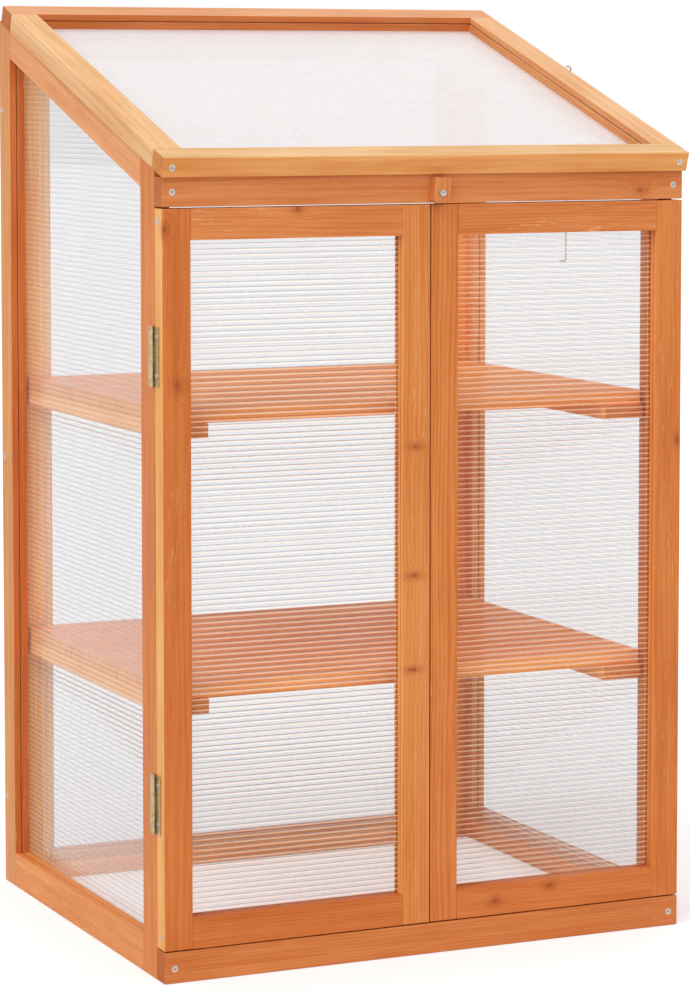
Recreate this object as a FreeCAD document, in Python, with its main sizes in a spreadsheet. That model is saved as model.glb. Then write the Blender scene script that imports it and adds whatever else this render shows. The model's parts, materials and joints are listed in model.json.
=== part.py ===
"""Wooden mini greenhouse: a cabinet with two doors, a sloping lid, a turn button and two shelves.

X runs to the viewer's right, Y from the front to the back and Z up. The origin lies on the floor,
in the middle of the footprint. Lengths are millimetres and angles are degrees.
"""

import FreeCAD, Part
import Sketcher
import os
import re
import sys
from FreeCAD import Placement, Rotation, Vector

doc = FreeCAD.newDocument("MiniGreenhouse")

X_AXIS = Vector(1, 0, 0)
Y_AXIS = Vector(0, 1, 0)
Z_AXIS = Vector(0, 0, 1)
SIDES = ("left", "right")
BOARDS = ("front", "middle", "back")

# Driving sizes: alias, value, meaning
SIZES = [
    ("body_width", 598, "outside width of the cabinet"),
    ("body_depth", 500, "front face of the rails to the back of the rear posts"),
    ("door_opening", 758, "height between the base rail and the header"),
    ("lid_slope", 18, "slope of the lid, degrees"),
    ("front_thickness", 22, "header and base rail, front to back"),
    ("base_height", 32, "height of the base rail"),
    ("header_height", 30, "height of the header rail"),
    ("side_thickness", 17, "thickness of the side frames"),
    ("front_post", 38, "front post, front to back"),
    ("rear_post", 35, "rear post, front to back"),
    ("side_rail", 37.5, "height of the side frames' bottom rails"),
    ("side_top_rail", 30, "width of the sloping top rails"),
    ("kerf_width", 1.2, "width of the groove round each frame's inner edge"),
    ("kerf_depth", 4, "depth of that groove"),
    ("kerf_set", 7.4, "outer face of a frame to its groove"),
    ("panel_thickness", 4, "twin-wall sheet"),
    ("panel_overlap", 12, "how far a sheet reaches behind its frame"),
    ("panel_play", 0.2, "gap round a sheet in its groove or rebate"),
    ("back_thickness", 22, "thickness of the back frame"),
    ("back_stile", 35, "width of the back frame's stiles"),
    ("back_rail", 32, "height of the back frame's bottom rail"),
    ("back_top_rail", 45, "height of the back frame's top rail at the back"),
    ("door_back_gap", 1, "back of the doors to the front of the posts"),
    ("door_stile", 31, "width of the door stiles"),
    ("door_rail", 32, "height of the door rails"),
    ("door_gap", 1.5, "gap above, below and between the doors"),
    ("door_panel_set", 13, "front face of a door to its sheet"),
    ("door_kerf_set", 6, "front face of a door to its narrow groove"),
    ("lid_side_overhang", 2, "side of the cabinet to the side of the lid"),
    ("lid_thickness", 21, "thickness of the lid frame"),
    ("lid_front_rail", 30, "width of the lid's front rail"),
    ("lid_back_rail", 31.5, "width of the lid's back rail"),
    ("lid_rafter", 30, "width of the lid's rafters"),
    ("lid_overhang", 5, "lid's lower front edge in front of the header"),
    ("lid_setback", 12, "lid's lower back edge in front of the posts' backs"),
    ("lid_kerf_set", 12.4, "underside of the lid to its narrow groove"),
    ("header_gap", 1.1, "header's top to the lid's underside, at the front"),
    ("lid_gap", 0.3, "gap between the lid and the frames that carry it"),
    ("shelf_thickness", 15, "thickness of the shelf boards"),
    ("lower_shelf", 281, "height of the lower shelf's underside"),
    ("upper_shelf", 566, "height of the upper shelf's underside"),
    ("shelf_front", 50, "front of the cabinet to the front shelf board"),
    ("board_gap", 2.5, "gap between shelf boards"),
    ("shelf_play", 0.5, "gap between a shelf and the sheets beside it"),
    ("batten_thickness", 15, "thickness of the shelf battens"),
    ("batten_width", 47, "width of the shelf battens"),
    ("batten_front", 45, "front of the cabinet to the battens"),
    ("hinge_length", 60, "length of every butt hinge"),
    ("lower_hinge", 182, "height of the lower door hinges' middle"),
    ("upper_hinge_drop", 149.5, "top of the doors to the upper hinges' middle"),
    ("lid_hinge_spread", 190, "middle of the lid to each lid hinge"),
    ("knuckle_stand", 0.4, "knuckles to the face that a leaf lies on"),
    ("pin_radius", 1.25, "radius of the hinge pins"),
    ("pin_play", 0.05, "radial gap round a hinge pin"),
    ("pin_head_radius", 2, "radius of the pins' heads"),
    ("pin_head", 0.8, "thickness of the pins' heads"),
    ("knuckle_radius", 2.6, "outer radius of the knuckles"),
    ("knuckle_gap", 0.3, "gap between knuckles, and between a knuckle and a leaf"),
    ("leaf_thickness", 1.2, "thickness of the hinge leaves"),
    ("door_leaf_reach", 13.5, "pin to the far edge of a door hinge's leaf"),
    ("lid_leaf_reach", 9.4, "pin to the far edge of a lid hinge's leaf"),
    ("door_leaf_screw", 8.4, "pin to the screws of a door hinge's leaf"),
    ("lid_leaf_screw", 6.2, "pin to the screws of a lid hinge's leaf"),
    ("leaf_screw_spread", 20, "middle of a hinge to each of its screws"),
    ("wood_screw_length", 45, "length of the frame screws"),
    ("wood_screw_radius", 2, "radius of the frame screws' shanks"),
    ("wood_head_radius", 3.5, "radius of the frame screws' heads"),
    ("wood_head_proud", 0.3, "how far the frame screws' heads stand out"),
    ("wood_head_sunk", 1.5, "how deep the frame screws' heads are sunk"),
    ("shelf_screw_length", 26, "length of the shelf screws"),
    ("hinge_screw_length", 12, "length of the door hinge screws under the head"),
    ("lid_screw_length", 6, "length of the lid hinge screws under the head"),
    ("hinge_screw_radius", 1.05, "radius of the hinge screws' shanks"),
    ("hinge_head_radius", 2.4, "radius of the hinge screws' heads"),
    ("hinge_head", 0.8, "thickness of the hinge screws' heads"),
    ("recess_length", 3.2, "length of each slot of the cross in a screw's head"),
    ("recess_width", 0.9, "width of each slot of that cross"),
    ("recess_depth", 0.6, "depth of that cross"),
    ("frame_screw_set", 11, "side of the cabinet to the screws in its front rails"),
    ("header_screw", 15, "header's lower edge to its screws"),
    ("base_screw", 15, "height of the base rail's screws"),
    ("rear_screw_set", 8, "back of the cabinet to the screws in the rear posts' sides"),
    ("rear_screw_low", 99, "height of the rear posts' lowest side screws"),
    ("rear_screw_middle", 490, "height of the rear posts' middle side screws"),
    ("rear_screw_drop", 100.5, "top of the rear posts to their top side screws"),
    ("door_screw_set", 12.5, "end of a door to the screws in its edges"),
    ("lid_screw_set", 10, "side of the lid to the screws in its rails"),
    ("button_width", 18, "width of the turn button"),
    ("button_length", 26, "length of the turn button"),
    ("button_thickness", 12.5, "thickness of the turn button"),
    ("button_corner", 2, "corner radius of the turn button"),
    ("button_gap", 0.4, "header to the turn button"),
    ("button_lift", 0.5, "header's lower edge to the lower end of the button"),
    ("button_pivot", 10, "lower end of the button to its screw"),
    ("button_x", 7, "middle of the cabinet to the turn button's screw"),
    ("button_lean", 4.5, "lean of the turn button at rest, degrees"),
    ("button_head", 1.6, "thickness of the turn button's screw head"),
    ("button_head_gap", 0.1, "turn button to its screw's head"),
    ("button_screw_depth", 17, "depth of the turn button's screw in the header"),
    ("eye_radius", 4.4, "middle of a screw eye to the middle of its wire"),
    ("eye_wire", 1.1, "radius of a screw eye's wire"),
    ("eye_stand", 0.3, "side of the lid to the ring of its screw eye"),
    ("eye_shank", 14, "depth of a screw eye in the wood"),
    ("eye_run", 300, "lid's front edge to the stay's screw eye, up the slope"),
    ("eye_rise", 16.5, "underside of the lid to the middle of that screw eye"),
    ("catch_run", 400, "lid's front edge to the catch eye, up the slope"),
    ("stay_length", 215, "stay's pivot to its prong"),
    ("stay_wire", 1.25, "radius of the stay's wire"),
    ("stay_eye", 2.85, "stay's pivot to the middle of its eye's wire"),
    ("stay_eye_wire", 1.1, "radius of the flattened wire of the stay's eye"),
    ("stay_bend", 4, "radius of the bend at the stay's prong"),
    ("stay_prong", 10, "length of the prong past the bend"),
]

# Places that follow from the sizes: name, formula
PLACES = [
    ("side_x", "body_width / 2"),
    ("side_inner", "side_x - side_thickness"),
    ("sheet_inner", "side_inner - panel_thickness"),
    ("button_reach", "button_gap + button_thickness + button_head_gap + button_head"),
    ("front", "-(body_depth - button_reach) / 2"),
    ("rear", "front + body_depth"),
    ("post_front", "front + front_thickness"),
    ("post_back", "post_front + front_post"),
    ("rear_post_front", "rear - rear_post"),
    ("back_front", "rear - back_thickness"),
    ("back_sheet", "back_front - panel_thickness"),
    ("header_bottom", "base_height + door_opening"),
    ("header_top", "header_bottom + header_height"),
    ("door_bottom", "base_height + door_gap"),
    ("door_top", "header_bottom - door_gap"),
    ("door_thickness", "front_thickness - door_back_gap"),
    ("door_inner", "side_x - door_stile"),
    ("door_meeting", "door_gap / 2 + door_stile"),
    ("lid_width", "body_width + 2 * lid_side_overhang"),
    ("lid_front", "front - lid_overhang"),
    ("lid_low", "header_top + header_gap - lid_overhang * tan(lid_slope * 1 deg)"),
    ("lid_run", "(body_depth + lid_overhang - lid_setback) / cos(lid_slope * 1 deg)"),
    ("rear_height", "lid_low + (body_depth + lid_overhang) * tan(lid_slope * 1 deg)"),
    ("back_top_low", "rear_height - back_top_rail"),
    ("rear_screw_top", "rear_height - rear_screw_drop"),
    ("above_all", "rear_height + body_depth"),
    ("rafter_inner", "lid_width / 2 - lid_rafter"),
    ("lid_back_start", "lid_run - lid_back_rail"),
    ("pin_set", "knuckle_radius + knuckle_stand"),
    ("lid_pin_run", "lid_run + pin_set"),
    ("lid_pin_rise", "pin_set - lid_gap"),
    ("knuckle_length", "(hinge_length - 2 * knuckle_gap) / 3"),
    ("leaf_start", "knuckle_radius + knuckle_gap"),
    ("pin_x", "side_x + pin_set"),
    ("upper_hinge", "door_top - upper_hinge_drop"),
    ("button_z", "header_bottom + button_lift + button_pivot"),
    ("eye_x", "lid_width / 2 + eye_stand + eye_wire + eye_radius"),
    ("catch_rise", "-lid_gap - side_top_rail / 2"),
    ("shelf_back", "back_sheet - 2 * shelf_play"),
    (
        "board_width",
        f"(shelf_back - front - shelf_front - {len(BOARDS) - 1} * board_gap) / {len(BOARDS)}",
    ),
]

START = {name: value for name, value, meaning in SIZES}
NAMES = {name: "Sizes" for name in START}
NAMES.update({name: "Places" for name, formula in PLACES})

NODES = []


def bound(formula):
    """Write each size and place of a formula as a property of its own object."""
    return re.sub(
        r"[a-z_]+",
        lambda word: f"{NAMES[word[0]]}.{word[0]}" if word[0] in NAMES else word[0],
        str(formula),
    )


def bind(piece, **formulas):
    """Tie the named properties of a piece to formulas."""
    for name, formula in formulas.items():
        piece.setExpression(name, bound(formula))


def put(piece, x="0", y="0", z="0"):
    """Tie a piece's position to formulas."""
    for axis, formula in (("x", x), ("y", y), ("z", z)):
        piece.setExpression(f".Placement.Base.{axis}", bound(formula))


def node(name, piece):
    """Mark a piece as a sub-part, under the name that its file gets."""
    piece.Label = name
    NODES.append(piece)
    return piece


def block(name, x, y, z):
    """A straight board between pairs of formulas along X, Y and Z."""
    box = doc.addObject("Part::Box", name)
    bind(box, Length=f"({x[1]}) - ({x[0]})", Width=f"({y[1]}) - ({y[0]})", Height=f"({z[1]}) - ({z[0]})")
    put(box, x[0], y[0], z[0])
    return box


def sloped_place(piece, x, run, rise):
    """Tilt a piece with the lid and put it at a run up the slope and a rise square to it."""
    piece.Placement = Placement(Vector(), Rotation(X_AXIS, 1))
    piece.setExpression(".Placement.Rotation.Angle", bound("lid_slope * 1 deg"))
    put(
        piece,
        x,
        f"lid_front + ({run}) * cos(lid_slope * 1 deg) - ({rise}) * sin(lid_slope * 1 deg)",
        f"lid_low + ({run}) * sin(lid_slope * 1 deg) + ({rise}) * cos(lid_slope * 1 deg)",
    )
    return piece


def sloped_block(name, x, run, rise):
    """A board that lies along the lid's slope."""
    box = doc.addObject("Part::Box", name)
    bind(
        box,
        Length=f"({x[1]}) - ({x[0]})",
        Width=f"({run[1]}) - ({run[0]})",
        Height=f"({rise[1]}) - ({rise[0]})",
    )
    return sloped_place(box, x[0], run[0], rise[0])


def round_bar(name, radius, length, rotation=None, x="0", y="0", z="0"):
    """A cylinder from its place along its own axis."""
    bar = doc.addObject("Part::Cylinder", name)
    bind(bar, Radius=radius, Height=length)
    if rotation:
        bar.Placement = Placement(Vector(), rotation)
    put(bar, x, y, z)
    return bar


def ring(name, radius, wire, rotation, sweep=360, x="0", y="0", z="0"):
    """A ring of round wire, or the part of one that its sweep covers."""
    torus = doc.addObject("Part::Torus", name)
    torus.Angle3 = sweep
    bind(torus, Radius1=radius, Radius2=wire)
    torus.Placement = Placement(Vector(), rotation)
    put(torus, x, y, z)
    return torus


def cut(name, base, *tools):
    """The base with each tool taken away in turn."""
    piece = base
    for number, tool in enumerate(tools):
        last = number == len(tools) - 1
        result = doc.addObject("Part::Cut", name if last else f"{name}_cut_{number}")
        result.Base = piece
        result.Tool = tool
        piece = result
    return piece


def fuse(name, *pieces):
    """Several overlapping pieces as one."""
    whole = doc.addObject("Part::MultiFuse", name)
    whole.Shapes = list(pieces)
    return whole


def group(name, pieces):
    """Separate solids that share one sub-part."""
    whole = doc.addObject("Part::Compound", name)
    whole.Links = list(pieces)
    return whole


def copy_of(piece, name, rotation, x, y, z):
    """A copy of a piece in another place."""
    link = doc.addObject("App::Link", name)
    link.LinkedObject = piece
    link.Placement = Placement(Vector(), rotation)
    put(link, x, y, z)
    return link


def outward(side, near, far):
    """The X range between two distances from the middle, on one side."""
    if side == "left":
        return (f"-({far})", f"-({near})")
    return (near, far)


def at_side(side, distance):
    """The X of a distance from the middle, on one side."""
    return f"-({distance})" if side == "left" else distance


def write_sizes():
    """Fill the sheet with the driving sizes, and the set of places that follow from them."""
    sheet = doc.addObject("Spreadsheet::Sheet", "Sizes")
    for row, (name, value, meaning) in enumerate(SIZES, start=1):
        sheet.set(f"A{row}", name)
        sheet.set(f"B{row}", str(value))
        sheet.setAlias(f"B{row}", name)
        sheet.set(f"C{row}", meaning)
    doc.recompute()
    places = doc.addObject("App::VarSet", "Places")
    for name, formula in PLACES:
        places.addProperty("App::PropertyFloat", name)
        places.setExpression(name, bound(formula))
    doc.recompute()


def side_frames():
    """Two trapezoid frames of four boards, each with a sheet on its inner side."""
    over_frames = sloped_block(
        "over_frames",
        ("-body_width", "body_width"),
        ("-body_depth", "2 * body_depth"),
        ("-lid_gap", "above_all"),
    )
    upright = ("0", "above_all")
    for side in SIDES:
        across = outward(side, "side_inner", "side_x")
        between = ("post_back", "rear_post_front")
        over_groove = sloped_block(
            f"{side}_over_groove",
            ("-body_width", "body_width"),
            ("-body_depth", "2 * body_depth"),
            ("kerf_depth - lid_gap - side_top_rail", "above_all"),
        )
        groove = cut(
            f"{side}_groove",
            block(
                f"{side}_groove_blank",
                outward(side, "side_x - kerf_set - kerf_width", "side_x - kerf_set"),
                ("post_back - kerf_depth", "rear_post_front + kerf_depth"),
                ("side_rail - kerf_depth", "above_all"),
            ),
            over_groove,
        )
        front_post = block(f"{side}_front_post_blank", across, ("post_front", "post_back"), upright)
        node(f"{side}_front_post", cut(f"{side}_front_post", front_post, over_frames, groove))
        rear_post = block(f"{side}_rear_post_blank", across, ("rear_post_front", "rear"), upright)
        node(f"{side}_rear_post", cut(f"{side}_rear_post", rear_post, over_frames, groove))
        bottom_rail = block(f"{side}_bottom_rail_blank", across, between, ("0", "side_rail"))
        node(f"{side}_bottom_rail", cut(f"{side}_bottom_rail", bottom_rail, groove))

        rail = doc.addObject("Part::Common", f"{side}_top_rail_blank")
        rail.Base = sloped_block(
            f"{side}_top_rail_board", across, ("0", "lid_run"), ("-lid_gap - side_top_rail", "-lid_gap")
        )
        rail.Tool = block(f"{side}_top_rail_ends", across, between, upright)
        node(f"{side}_top_rail", cut(f"{side}_top_rail", rail, groove))

        over_sheet = sloped_block(
            f"{side}_over_sheet",
            ("-body_width", "body_width"),
            ("-body_depth", "2 * body_depth"),
            ("panel_overlap - lid_gap - side_top_rail", "above_all"),
        )
        sheet = block(
            f"{side}_side_panel_blank",
            outward(side, "sheet_inner", "side_inner"),
            ("post_back - panel_overlap", "rear_post_front + panel_overlap"),
            ("side_rail - panel_overlap", "above_all"),
        )
        node(f"{side}_side_panel", cut(f"{side}_side_panel", sheet, over_sheet))
    return over_frames


def back_frame(over_frames):
    """The frame between the side frames at the back, with a sheet on its inner side."""
    through = ("back_front", "rear")
    stile_inner = "side_inner - back_stile"
    for side in SIDES:
        stile_across = outward(side, stile_inner, "side_inner")
        stile = block(f"back_{side}_stile_blank", stile_across, through, ("0", "above_all"))
        node(f"back_{side}_stile", cut(f"back_{side}_stile", stile, over_frames))
    across = (f"-({stile_inner})", stile_inner)
    top_rail = block("back_top_rail_blank", across, through, ("back_top_low", "above_all"))
    node("back_top_rail", cut("back_top_rail", top_rail, over_frames))
    node("back_bottom_rail", block("back_bottom_rail", across, through, ("0", "back_rail")))
    sheet_half = f"{stile_inner} + panel_overlap"
    node(
        "back_panel",
        block(
            "back_panel",
            (f"-({sheet_half})", sheet_half),
            ("back_sheet", "back_front"),
            ("back_rail - panel_overlap", "back_top_low + panel_overlap"),
        ),
    )


def front_rails():
    """The header over the doors and the base rail under them."""
    across = ("-side_x", "side_x")
    through = ("front", "front + front_thickness")
    node("header_rail", block("header_rail", across, through, ("header_bottom", "header_top")))
    node("base_rail", block("base_rail", across, through, ("0", "base_height")))


def shelves():
    """Two shelves of three boards, each on a pair of flat battens along the sides."""
    for level in ("lower", "upper"):
        height = f"{level}_shelf"
        for side in SIDES:
            name = f"{level}_{side}_batten"
            across = outward(side, "sheet_inner - batten_width", "sheet_inner")
            along = ("front + batten_front", "back_sheet - shelf_play")
            node(name, block(name, across, along, (f"{height} - batten_thickness", height)))
        for number, place in enumerate(BOARDS):
            name = f"{level}_shelf_{place}_board"
            start = f"front + shelf_front + {number} * (board_width + board_gap)"
            node(
                name,
                block(
                    name,
                    ("shelf_play - sheet_inner", "sheet_inner - shelf_play"),
                    (start, f"{start} + board_width"),
                    (height, f"{height} + shelf_thickness"),
                ),
            )


def door(side):
    """One door: a grooved frame of four boards with a sheet in the groove."""
    name = f"{side}_door"
    through = ("front", "front + door_thickness")
    top_edge = "door_top - door_rail"
    bottom_edge = "door_bottom + door_rail"
    sheet_across = outward(side, "door_meeting - panel_overlap", "door_inner + panel_overlap")
    sheet_front = "front + door_panel_set"
    sheet = block(
        f"{name}_panel",
        sheet_across,
        (sheet_front, f"{sheet_front} + panel_thickness"),
        (f"{bottom_edge} - panel_overlap", f"{top_edge} + panel_overlap"),
    )
    groove = block(
        f"{name}_sheet_groove",
        (f"{sheet_across[0]} - panel_play", f"{sheet_across[1]} + panel_play"),
        (f"{sheet_front} - panel_play", f"{sheet_front} + panel_thickness + panel_play"),
        (f"{bottom_edge} - panel_overlap - panel_play", f"{top_edge} + panel_overlap + panel_play"),
    )
    narrow = block(
        f"{name}_narrow_groove",
        outward(side, "door_meeting - kerf_depth", "door_inner + kerf_depth"),
        ("front + door_kerf_set", "front + door_kerf_set + kerf_width"),
        (f"{bottom_edge} - kerf_depth", f"{top_edge} + kerf_depth"),
    )
    boards = {
        "hinge_stile": (outward(side, "door_inner", "side_x"), ("door_bottom", "door_top")),
        "closing_stile": (outward(side, "door_gap / 2", "door_meeting"), ("door_bottom", "door_top")),
        "top_rail": (outward(side, "door_meeting", "door_inner"), (top_edge, "door_top")),
        "bottom_rail": (outward(side, "door_meeting", "door_inner"), ("door_bottom", bottom_edge)),
    }
    for board, (across, upright) in boards.items():
        label = f"{name}_{board}"
        node(label, cut(label, block(f"{label}_blank", across, through, upright), groove, narrow))
    node(f"{name}_panel", sheet)


def hinge_leaf(name, direction, reach, screw):
    """Half of a butt hinge about its pin, which runs along Z through the origin.

    The leaf lies flat at pin_set from the pin, on the +X side, and reaches along Y. The half that
    reaches towards -Y has the middle knuckle, and the other half has the two outer ones.
    """
    plate_x = ("pin_set - leaf_thickness", "pin_set")

    def span(near, far):
        return (near, far) if direction > 0 else (f"-({far})", f"-({near})")

    half = "hinge_length / 2"
    parts = [block(f"{name}_plate", plate_x, span("leaf_start", reach), (f"-{half}", half))]
    if direction < 0:
        knuckles = [("-knuckle_length / 2", "knuckle_length / 2")]
    else:
        knuckles = [(f"-{half}", f"knuckle_length - {half}"), (f"{half} - knuckle_length", half)]
    for number, (low, high) in enumerate(knuckles):
        parts.append(block(f"{name}_strap_{number}", plate_x, span("0", "leaf_start"), (low, high)))
        parts.append(
            round_bar(f"{name}_knuckle_{number}", "knuckle_radius", f"({high}) - ({low})", z=low)
        )
    bore = round_bar(f"{name}_bore", "pin_radius + pin_play", "2 * hinge_length", z="-hinge_length")
    holes = [
        round_bar(
            f"{name}_hole_{number}",
            "hinge_screw_radius + pin_play",
            "2 * pin_set",
            Rotation(Y_AXIS, 90),
            y=f"{direction} * {screw}",
            z=f"{end} * leaf_screw_spread",
        )
        for number, end in enumerate((-1, 1))
    ]
    return cut(name, fuse(f"{name}_blank", *parts), bore, *holes)


def hinge_pin():
    """A hinge pin with a flat head at each end, along Z through the origin."""
    whole_length = "hinge_length + 2 * pin_play + 2 * pin_head"
    foot = "-hinge_length / 2 - pin_play - pin_head"
    return fuse(
        "hinge_pin",
        round_bar("pin_shaft", "pin_radius", whole_length, z=foot),
        round_bar("pin_top", "pin_head_radius", "pin_head", z="hinge_length / 2 + pin_play"),
        round_bar("pin_foot", "pin_head_radius", "pin_head", z=foot),
    )


def screw(name, length, radius, head_radius, head_low, head_high):
    """A cross-head screw along Z, with its head's lower and upper face at the given heights."""
    half_slot = "recess_length / 2"
    half_width = "recess_width / 2"
    depth = (f"{head_high} - recess_depth", f"{head_high} + recess_depth")
    head = round_bar(f"{name}_head", head_radius, f"({head_high}) - ({head_low})", z=head_low)
    shank = round_bar(f"{name}_shank", radius, f"{length} + ({head_low})", z=f"-({length})")
    slot = (f"-{half_slot}", half_slot)
    narrow = (f"-{half_width}", half_width)
    return cut(
        name,
        fuse(f"{name}_blank", head, shank),
        block(f"{name}_slot_x", slot, narrow, depth),
        block(f"{name}_slot_y", narrow, slot, depth),
    )


def make_screws():
    """One screw of each kind, for the copies that hold the greenhouse together."""
    wood = ("wood_screw_radius", "wood_head_radius", "-wood_head_sunk", "wood_head_proud")
    hinge = ("hinge_screw_radius", "hinge_head_radius", "0", "hinge_head")
    return {
        "wood": screw("wood_screw", "wood_screw_length", *wood),
        "shelf": screw("shelf_screw", "shelf_screw_length", *wood),
        "hinge": screw("hinge_screw", "hinge_screw_length", *hinge),
        "lid": screw("lid_hinge_screw", "lid_screw_length", *hinge),
    }


# Which way a screw's head looks, as the turn from +Z
HEAD = {
    "front": Rotation(X_AXIS, 90),
    "back": Rotation(X_AXIS, -90),
    "left": Rotation(Y_AXIS, -90),
    "right": Rotation(Y_AXIS, 90),
    "up": Rotation(),
}


def frame_screws(screws):
    """The screws of the cabinet's frames and shelves."""
    pieces = []
    for side in SIDES:
        front_x = at_side(side, "side_x - frame_screw_set")
        for name, height in (("header", "header_bottom + header_screw"), ("base", "base_screw")):
            label = f"{name}_{side}_screw"
            pieces.append(copy_of(screws["wood"], label, HEAD["front"], front_x, "front", height))
        for name in ("low", "middle", "top"):
            place = (at_side(side, "side_x"), "rear - rear_screw_set", f"rear_screw_{name}")
            pieces.append(copy_of(screws["wood"], f"rear_{side}_screw_{name}", HEAD[side], *place))
        rear_x = at_side(side, "side_x - side_thickness / 2")
        for name, height in (("rail", "side_rail / 2"), ("rafter", "rear_height - side_top_rail")):
            label = f"{name}_{side}_rear_screw"
            pieces.append(copy_of(screws["wood"], label, HEAD["back"], rear_x, "rear", height))
        batten_x = at_side(side, "sheet_inner - batten_width / 2")
        for level in ("lower", "upper"):
            for number in range(len(BOARDS)):
                place = (
                    batten_x,
                    f"front + shelf_front + {number} * (board_width + board_gap) + board_width / 2",
                    f"{level}_shelf + shelf_thickness",
                )
                label = f"{level}_{side}_shelf_screw_{number}"
                pieces.append(copy_of(screws["shelf"], label, HEAD["up"], *place))
    node("frame_screws", group("frame_screws", pieces))


def door_hinges(screws):
    """Two butt hinges on each door, their leaves flat on the side faces of door and post."""
    door_leaf = hinge_leaf("door_leaf", -1, "door_leaf_reach", "door_leaf_screw")
    post_leaf = hinge_leaf("post_leaf", 1, "door_leaf_reach", "door_leaf_screw")
    pin = hinge_pin()
    pins = []
    fixed_screws = []
    door_screws = {"left": [], "right": []}
    face_out = "pin_set - leaf_thickness"
    for side in SIDES:
        turn = Rotation() if side == "left" else Rotation(Y_AXIS, 180)
        pin_x = at_side(side, "pin_x")
        leaves = {"door": [], "post": []}
        for level in ("lower", "upper"):
            place = (pin_x, "post_front", f"{level}_hinge")
            label = f"{side}_{level}_hinge"
            leaves["door"].append(copy_of(door_leaf, f"{label}_door_leaf", turn, *place))
            leaves["post"].append(copy_of(post_leaf, f"{label}_post_leaf", turn, *place))
            pins.append(copy_of(pin, f"{label}_pin", turn, *place))
            leaf_sides = ((door_screws[side], "-door_leaf_screw"), (fixed_screws, "door_leaf_screw"))
            for number, end in enumerate((-1, 1)):
                screw_x = at_side(side, f"pin_x - ({face_out})")
                screw_z = f"{level}_hinge + {end} * leaf_screw_spread"
                for screw_list, reach in leaf_sides:
                    screw_list.append(
                        copy_of(
                            screws["hinge"],
                            f"{label}_screw_{number}",
                            HEAD[side],
                            screw_x,
                            f"post_front + ({reach})",
                            screw_z,
                        )
                    )
        node(f"{side}_door_hinge_leaves", group(f"{side}_door_hinge_leaves", leaves["door"]))
        node(f"{side}_post_hinge_leaves", group(f"{side}_post_hinge_leaves", leaves["post"]))
    node("door_hinge_pins", group("door_hinge_pins", pins))
    return pin, fixed_screws, door_screws


def door_screw_groups(screws, door_screws):
    """The screws in the edges of each door's stiles, with those of its hinge leaves."""
    for side, other in (("left", "right"), ("right", "left")):
        pieces = list(door_screws[side])
        edges = ((at_side(side, "side_x"), HEAD[side]), (at_side(side, "door_gap / 2"), HEAD[other]))
        for edge, (x, turn) in enumerate(edges):
            for end, z in enumerate(("door_bottom + door_screw_set", "door_top - door_screw_set")):
                label = f"{side}_door_edge_screw_{edge}_{end}"
                pieces.append(copy_of(screws["wood"], label, turn, x, "front + door_thickness / 2", z))
        node(f"{side}_door_screws", group(f"{side}_door_screws", pieces))


def on_lid(name, piece):
    """A sub-part that was built flat, laid on the lid's slope."""
    sloped_place(piece, "0", "0", "0")
    return node(name, piece)


def lid_frame():
    """The lid, built flat: X across, Y up the slope and Z square to it from its underside."""
    upright = ("0", "lid_thickness")
    sheet_half = "rafter_inner + panel_overlap"
    sheet_low = "lid_front_rail - panel_overlap"
    sheet_high = "lid_back_start + panel_overlap"
    sheet = block(
        "lid_panel_blank",
        (f"-({sheet_half})", sheet_half),
        (sheet_low, sheet_high),
        ("0", "panel_thickness"),
    )
    rebate = block(
        "lid_rebate",
        (f"-({sheet_half} + panel_play)", f"{sheet_half} + panel_play"),
        (f"{sheet_low} - panel_play", f"{sheet_high} + panel_play"),
        ("-panel_thickness", "panel_thickness"),
    )
    narrow = block(
        "lid_narrow_groove",
        ("-rafter_inner - kerf_depth", "rafter_inner + kerf_depth"),
        ("lid_front_rail - kerf_depth", "lid_back_start + kerf_depth"),
        ("lid_kerf_set", "lid_kerf_set + kerf_width"),
    )
    full = ("-lid_width / 2", "lid_width / 2")
    boards = {
        "lid_front_rail": (full, ("0", "lid_front_rail")),
        "lid_back_rail": (full, ("lid_back_start", "lid_run")),
    }
    for side in SIDES:
        boards[f"lid_{side}_rafter"] = (
            outward(side, "rafter_inner", "lid_width / 2"),
            ("lid_front_rail", "lid_back_start"),
        )
    for name, (across, along) in boards.items():
        on_lid(name, cut(name, block(f"{name}_blank", across, along, upright), rebate, narrow))
    on_lid("lid_panel", group("lid_panel", [sheet]))


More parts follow.
